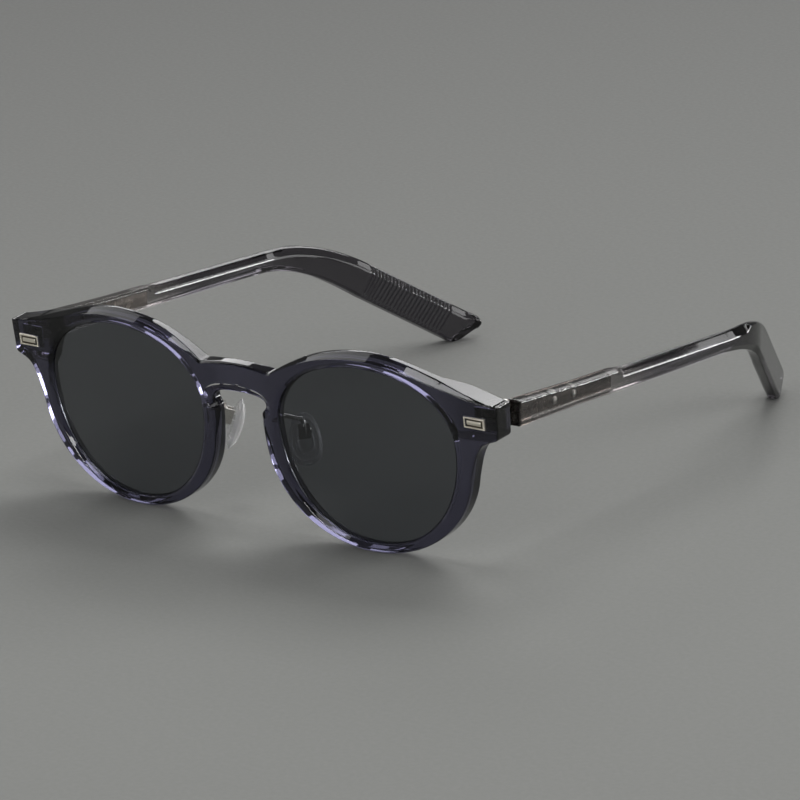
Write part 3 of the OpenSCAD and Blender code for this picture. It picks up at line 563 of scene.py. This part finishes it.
def temple_shell():
    """Temple as a bevelled section carried along its side view and turned in with the hook.

    The section's corners are given by their distance from the outer face and from the top. Stopped bevels
    open as the sine of the way behind their start. The inner bevel has a narrow facet at its foot, the
    ridge, and another at its head, the crown. Grip ribs, one to a millimetre, are cut by a row of cosines
    across the inner face and bevel.
    """
    top, low, tip_run, tip_l = temple_lines()
    back = (top[:, 0] + low[:, 0]) / 2
    high = np.linalg.norm(top - low, axis=1)

    def stopped(start, end, from_size, to_size):
        """A bevel's width, which opens soon after its start and closes as quickly before its end."""
        share = np.sin(np.clip(np.minimum(back - start, end - back) / BEVEL_OPENS, 0, 1) * math.pi / 2)
        return from_size + (to_size - from_size) * share
    past_tip, thin = 200, 0.35
    outer_in = stopped(BEVEL_FROM, BEVEL_TO, 0.6, 1.3)
    outer_down = stopped(BEVEL_FROM, BEVEL_TO, 0.4, 1.95)
    close = smooth(0, 5, tip_l - tip_run)
    inner_in = stopped(BEVEL_FROM, past_tip, 0.4, 1.25) * close + thin * (1 - close)
    inner_down = stopped(BEVEL_FROM, past_tip, 0.4, 1.9) * close + thin * (1 - close)
    foot_in = thin + 0.9 * smooth(BEVEL_FROM, 85, back) * (0.4 + 0.6 * (1 - smooth(92, 100, back)))
    foot_up = foot_in * 1.2
    inner_foot = thin + 0.35 * smooth(BEVEL_FROM, 60, back)
    ridge = 0.12 + 0.5 * smooth(BEVEL_FROM, 42, back)
    crown = 0.5 * smooth(BEVEL_FROM, 42, back)
    ribbed = (tip_run > RIB_FROM) & (tip_run < RIB_TO)
    rib = np.where(ribbed, RIB_DEEP / 2 * (1 - np.cos(2 * math.pi * (tip_run - RIB_FROM))), 0)

    # Both ends are worn round: the faces fall away on a quarter circle over the last END_WORN
    t = TEMPLE_T
    left = np.minimum(np.where(tip_run > 0, tip_l - tip_run, math.inf), top[:, 0] - BUTT)
    worn = END_WORN - np.sqrt(np.maximum(END_WORN ** 2 - np.maximum(END_WORN - left, 0) ** 2, 0))
    corners = np.stack([
        np.stack([outer_in, worn], 1), np.stack([worn, outer_down], 1),
        np.stack([worn, high - foot_up], 1), np.stack([foot_in, high - worn], 1),
        np.stack([t - inner_foot, high - worn], 1), np.stack([t - rib - worn, high - inner_foot], 1),
        np.stack([t - rib - worn, inner_down + rib * 0.3 + ridge], 1),
        np.stack([t - rib - worn - ridge * 0.2, inner_down + rib * 0.3], 1),
        np.stack([t - inner_in - rib * 0.4, rib * 0.7 + worn + 0.6 * crown], 1),
        np.stack([t - inner_in - rib * 0.4 - crown, rib * 0.7 + worn], 1),
    ], axis=1)
    section = eased(corners, 0.22)
    inset, down = section[..., 0], section[..., 1] / high[:, None]

    def capped(rows, index, shares):
        """Rows that shrink one end section towards its middle."""
        end = rows[index]
        middle = end.mean(axis=0)
        return np.stack([middle + (end - middle) * s for s in shares])
    side = top[:, None] + (low - top)[:, None] * down[..., None]
    turn = np.arcsin(np.clip((side[..., 0] - HOOK_AT) / HOOK_R, 0, math.sin(HOOK)))
    past = np.maximum(side[..., 0] - HOOK_AT - HOOK_R * math.sin(HOOK), 0)
    out = OUTER_X - HOOK_R * (1 - np.cos(turn)) - past * math.tan(HOOK) - inset / np.cos(turn)
    points = hang(out, side[..., 0], side[..., 1])
    start = capped(points, 0, (0, 0.5, 0.9, 0.96))
    end = capped(points, -1, (0.93, 0.86, 0.5, 0))
    points = np.concatenate([start, points, end])
    return closed(points.reshape(-1, 3), quads(*points.shape[:2], round_columns=True))


def pad_outline(count):
    """Teardrop of the pad from two cubics a side, narrow at the top, as a closed ring of points."""
    w, l = PAD_W, PAD_L
    upper = bezier((0, l / 2), (w * 0.36, l / 2), (w / 2, l * 0.16), (w / 2, -l * 0.12), count)
    lower = bezier((w / 2, -l * 0.12), (w / 2, -l * 0.4), (w * 0.3, -l / 2), (0, -l / 2), count)
    half = np.concatenate([upper, lower])
    return np.concatenate([half, [(0, -l / 2)], half[:0:-1] * (-1, 1)])


def pad_shell():
    """Soft pad: rings over the domed bearing face, round the edge and back over the flat side.

    Two raised rings on each side are narrow bell curves of the share of the way to the edge.
    """
    rim = pad_outline(26)
    share = np.concatenate([np.linspace(0, 0.9, 31), [0.94, 0.97, 0.99]])
    ring = PAD_RING * (np.exp(-((share - 0.8) / 0.06) ** 2) + np.exp(-((share - 0.48) / 0.06) ** 2))
    edge = PAD_ROUND * smooth(0.9, 1, share)
    reach = np.linalg.norm(rim, axis=1)[:, None] * share
    bearing = -PAD_T / 2 + reach ** 2 / 32 + edge - ring
    rear = np.broadcast_to(PAD_T / 2 - edge - PAD_RING + ring, bearing.shape)
    front_lip, rear_lip = bearing[:, -1:], rear[:, -1:]
    lip = (front_lip + rear_lip) / 2
    round_lip = [front_lip * 0.6 + lip * 0.4, lip, rear_lip * 0.6 + lip * 0.4]
    thick = np.concatenate([bearing, *round_lip, rear[:, ::-1]], axis=1)
    across = np.concatenate([share, [0.998, 1.0, 0.998], share[::-1]])
    flat = rim[:, None] * across[None, :, None]
    points = seat(flat[..., 0], flat[..., 1], thick)
    return closed(points.reshape(-1, 3), quads(len(rim), len(across), round_rows=True))


def lug_shell():
    """Lug on the pad's back: a tongue with a half-round end, carried across its width with eased edges."""
    turn = np.linspace(0, math.pi, 13)
    end = np.stack([LUG_R * np.cos(turn), PIVOT_BACK + LUG_R * np.sin(turn)], 1)
    ring = np.concatenate([[(LUG_R, 0.6), (LUG_R, 1.4)], end, [(-LUG_R, 1.4), (-LUG_R, 0.6)]])
    middle = ring.mean(axis=0)
    w = LUG_W
    across = np.array([-w, -w, -w, -0.68, -0.6, 0.6, 0.68, w, w, w])
    shrink = np.array([0, 0.8, 0.92, 0.99, 1, 1, 0.99, 0.92, 0.8, 0])
    grid = middle + (ring - middle)[None] * shrink[:, None, None]
    points = seat(np.broadcast_to(across[:, None], grid.shape[:2]), grid[..., 0] + PIVOT_UP, grid[..., 1])
    return closed(points.reshape(-1, 3), quads(*grid.shape[:2], round_columns=True))


def arm_line():
    """Middle line of the pad arm: out of the rim's back, over the box and down it, with round bends."""
    root, behind = stand(ARM_X, ARM_UP, ARM_IN), stand(ARM_X, ARM_UP, ARM_OUT)
    above, end = (seat(0, PIVOT_UP + up, PIVOT_BACK + ARM_BOX) for up in (ARM_OVER, -ARM_FOOT))
    line = [root[None]]
    for before, corner, after in ((root, behind, above), (behind, above, end)):
        a, b = (corner - before), (after - corner)
        a, b = a / np.linalg.norm(a), b / np.linalg.norm(b)
        turn = math.acos(a @ b)
        into = (b - (b @ a) * a) / np.linalg.norm(b - (b @ a) * a)
        s = np.linspace(0, turn, 14)[:, None]
        start = corner - a * ARM_BEND * math.tan(turn / 2)
        line.append(start + ARM_BEND * (a * np.sin(s) + into * (1 - np.cos(s))))
    return np.concatenate(line + [end[None]])


def wire_shell(line, radius):
    """Round wire along a line: its rings stand square to the line, and the ends close on their middles."""
    way = np.gradient(line, axis=0)
    way /= np.linalg.norm(way, axis=1, keepdims=True)
    ends = np.array([0, 0.6, 0.92])
    size = np.concatenate([ends, np.ones(len(line)), ends[::-1]])
    line, way = np.pad(line, ((3, 3), (0, 0)), "edge"), np.pad(way, ((3, 3), (0, 0)), "edge")
    u = np.cross([1.0, 0, 0], way)
    u /= np.linalg.norm(u, axis=1, keepdims=True)
    v = np.cross(way, u)
    a = np.linspace(0, 2 * math.pi, 24, endpoint=False)
    ring = u[:, None] * np.cos(a)[:, None] + v[:, None] * np.sin(a)[:, None]
    points = line[:, None] + ring * (radius * size)[:, None, None]
    return closed(points.reshape(-1, 3), quads(*points.shape[:2], round_columns=True))


def rivet_shells():
    """Both rivets of a temple: a shank and a domed head turned about the rivet's axis.

    The dome is a quarter of an ellipse: its height is h sin t where its radius is r cos t.
    """
    t = np.linspace(0, math.pi / 2, 14)
    inner = OUTER_X - TEMPLE_T
    radius = np.concatenate([[0, 0.54, 0.6, 0.6, 0.9], RIVET_HEAD * np.cos(t)])
    out = np.concatenate([[0, 0, 0.06, LEAF_T, LEAF_T], LEAF_T + 0.06 + RIVET_RISE * np.sin(t)]) + inner
    around = np.linspace(0, 2 * math.pi, 32, endpoint=False)[:, None]
    shells = []
    for back in (RIVET_AT, RIVET_AT + RIVET_STEP):
        points = hang(out + 0 * around, back + radius * np.cos(around), radius * np.sin(around))
        shells.append(closed(points.reshape(-1, 3), quads(len(around), len(radius), round_rows=True)))
    return shells


def plaque_shell():
    """Stamped plaque: rings from its middle out to a rectangle, down its sides and in under it.

    Its height is a beaded border, a ribbed floor inside it and a smooth half-round bar along the middle.
    """
    w, h = PLAQUE_W / 2, PLAQUE_H / 2
    count = 60
    across = np.linspace(-w, w, 4 * count, endpoint=False)
    up = np.linspace(-h, h, 2 * count, endpoint=False)
    rim = np.concatenate([np.stack([across, 0 * across - h], 1), np.stack([0 * up + w, up], 1),
                          np.stack([-across, 0 * across + h], 1), np.stack([0 * up - w, -up], 1)])
    share = np.concatenate([np.linspace(0, 0.94, 40), [0.96, 0.98, 0.99, 1.0]])
    flat = rim[:, None] * share[None, :, None]
    x, y = flat[..., 0], flat[..., 1]
    from_edge = np.minimum(w - np.abs(x), h - np.abs(y))
    border = smooth(0.46, 0.4, from_edge)
    side = (h - np.abs(y)) < (w - np.abs(x))
    bead = 0.05 * np.cos(2 * math.pi * np.where(side, x, y) / 0.28) * border * smooth(0.02, 0.1, from_edge)
    rib = 0.02 * np.cos(2 * math.pi * x / 0.2) * (1 - border)
    bar = 0.22 * np.sqrt(np.maximum(0, 1 - (y / 0.56) ** 2)) * smooth(2.0, 1.85, np.abs(x))
    rise = 0.16 + 0.19 * border + np.maximum(bead + rib, bar) - 0.18 * smooth(0.1, 0.0, from_edge)
    low = np.full((len(rim), 1), -PLAQUE_SINK)
    rise = np.concatenate([np.minimum(rise, PLAQUE_RISE), low, low, low], axis=1)
    flat = np.concatenate([flat, rim[:, None], rim[:, None] * 0.9, rim[:, None] * 0], axis=1)
    depth = bow(PLAQUE_X) - rise
    points = stand(PLAQUE_X + flat[..., 0], PLAQUE_Y + flat[..., 1], depth)
    return closed(points.reshape(-1, 3), quads(*rise.shape, round_rows=True))


def build():
    """Every piece that is made again, on its body, in place of its CAD nodes."""
    mesh("front_acetate", [front_shell()], front_acetate, "front", "blue_grey_acetate", "front_frame")
    lens, temple, plaque = lens_shell(), temple_shell(), plaque_shell()
    wire, pad, rivets = wire_shell(arm_line(), WIRE_R), [pad_shell(), lug_shell()], rivet_shells()
    for side in ("left", "right"):
        turned = (lambda shell: shell) if side == "left" else mirrored
        mesh(side + "_lens_grey", [turned(lens)], lens_grey, "front", "grey_lens", side + "_lens")
        mesh(side + "_temple_acetate", [turned(temple)], temple_acetate, side + "_temple",
             "smoke_acetate", side + "_temple")
        mesh(side + "_rivets_domed", [turned(r) for r in rivets], rivet_metal_painted_bright, side + "_temple",
             "nickel_silver", side + "_temple_rivets")
        mesh(side + "_plaque_stamped", [turned(plaque)], champagne, "front",
             "champagne_metal", side + "_plaque")
        mesh(side + "_pad_wire", [turned(wire)], nickel, "front", "nickel_silver", side + "_pad_arm")
        mesh(side + "_pad_moulded", [turned(p) for p in pad], silicone, side + "_nose_pad",
             "clear_silicone", side + "_nose_pad")
    for name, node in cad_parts.items():
        if any(word in name for word in ("hinge", "screw", "pad_box")):
            node.data.materials.clear()
            node.data.materials.append(leaf_metal if "temple_hinge" in name else nickel)


def camera():
    """Camera of the photograph: its azimuth, height, roll, distance and the point that it centres on."""
    az, el, roll = (math.radians(turn) for turn in (CAMERA_AZIMUTH, CAMERA_HEIGHT, CAMERA_ROLL))
    side = np.array([math.cos(az), math.sin(az), 0])
    back = np.array([math.sin(az) * math.cos(el), -math.cos(az) * math.cos(el), math.sin(el)])
    up = np.cross(back, side)
    right = side * math.cos(roll) + up * math.sin(roll)
    over = np.cross(back, right)
    place = (right * CAMERA_RIGHT + over * CAMERA_OVER + back * CAMERA_BACK - (0, ORIGIN_Y, 0)) * MM
    data = bpy.data.cameras.new("camera")
    data.sensor_width, data.lens = SENSOR_W, CAMERA_LENS
    data.clip_start, data.clip_end = 0.05, 100
    seen = bpy.data.objects.new("camera", data)
    bpy.context.scene.collection.objects.link(seen)
    rows = np.stack([right, over, back, place], axis=1).tolist() + [[0, 0, 0, 1]]
    seen.matrix_world = Matrix(rows)
    bpy.context.scene.camera = seen


def softbox(name, place, aim, width, depth, strength):
    """A rectangular lamp at a place in metres that looks at another. strength is its light per area."""
    data = bpy.data.lights.new(name, "AREA")
    data.shape, data.size, data.size_y = "RECTANGLE", width, depth
    data.energy = strength * math.pi * width * depth
    lamp = bpy.data.objects.new(name, data)
    bpy.context.scene.collection.objects.link(lamp)
    lamp.location = place
    lamp.visible_camera = False
    lamp.rotation_euler = (Vector(aim) - Vector(place)).to_track_quat("-Z", "Y").to_euler()


def studio():
    """Grey table, painted darker towards the back as a painted shade, an even grey room and ten softboxes.

    One hangs over the glasses, one stands at their side, six stand behind them and two in front. The strip
    and the far ones behind are placed where the lower rims and the temples' edges mirror them.
    """
    scene = bpy.context.scene
    scene.view_settings.view_transform = "Standard"
    world = bpy.data.worlds.new("room")
    scene.world = world
    world.use_nodes = True
    light = world.node_tree.nodes["Background"]
    light.inputs["Color"].default_value = (1, 1, 1, 1)
    light.inputs["Strength"].default_value = 0.12
    softbox("softbox_over", (0.0, -0.05, 1.2), (0, -0.04, 0), 0.5, 0.34, 5.0)
    softbox("softbox_side", (-1.0, 0.1, 0.95), (0, 0, 0.02), 0.9, 0.7, 1.2)
    softbox("softbox_back", (-0.33, 1.6, 1.85), (0, 0, 0.02), 1.6, 1.25, 4.8)
    softbox("softbox_left", (-1.8, 2.15, 1.25), (0, 0, 0.02), 1.54, 0.69, 3.0)
    softbox("softbox_right", (1.29, 0.9, 0.33), (0, 0, 0.02), 1.75, 0.711, 2.8)
    softbox("softbox_strip", (1.55, 2.12, 0.39), (0, 0, 0.02), 1.0, 0.5, 18.0)
    softbox("softbox_far_right", (1.284, 1.903, 1.221), (0, 0, 0.02), 0.45, 0.45, 3.0)
    softbox("softbox_far_high", (0.62, 1.908, 1.654), (0, 0, 0.02), 0.6, 0.23, 5.0)
    softbox("softbox_low_front", (-0.15, -1.9, 0.42), (0, -0.07, 0.02), 1.0, 0.35, 9.0)
    softbox("softbox_front", (0.1, -1.6, 1.2), (0, -0.2, 0.0), 1.2, 0.8, 1.6)

    data = bpy.data.meshes.new("table")
    data.from_pydata([(-9, -9, 0), (9, -9, 0), (9, 9, 0), (-9, 9, 0)], [], [(0, 1, 2, 3)])
    table = bpy.data.objects.new("table", data)
    scene.collection.objects.link(table)
    paper, floor_shade_tree, sheet, _ = finish("paper_grey_matt", 1.2, 0.0, 0.75, 0.9)
    # The table's grey is painted darker towards the back: a painted shade of the light falling off
    away = add(floor_shade_tree, "ShaderNodeMapping", ("Vector", floor_shade_tree.nodes["Texture Coordinate"], "Object"),
               Rotation=(0, 0, math.radians(-39)))
    far = add(floor_shade_tree, "ShaderNodeSeparateXYZ", ("Vector", away, "Vector"))
    fall = add(floor_shade_tree, "ShaderNodeMapRange", ("Value", far, "Y"), From_Min=-0.1, From_Max=0.9)
    floor_painted_shade = add(floor_shade_tree, "ShaderNodeMix", ("Factor", fall, "Result"), data_type="RGBA")
    floor_painted_shade.inputs["A"].default_value = linear("#7f807d")
    floor_painted_shade.inputs["B"].default_value = linear("#4c4c4b")
    floor_shade_tree.links.new(floor_painted_shade.outputs["Result"], sheet.inputs["Base Color"])
    data.materials.append(paper)


camera()
studio()
build()
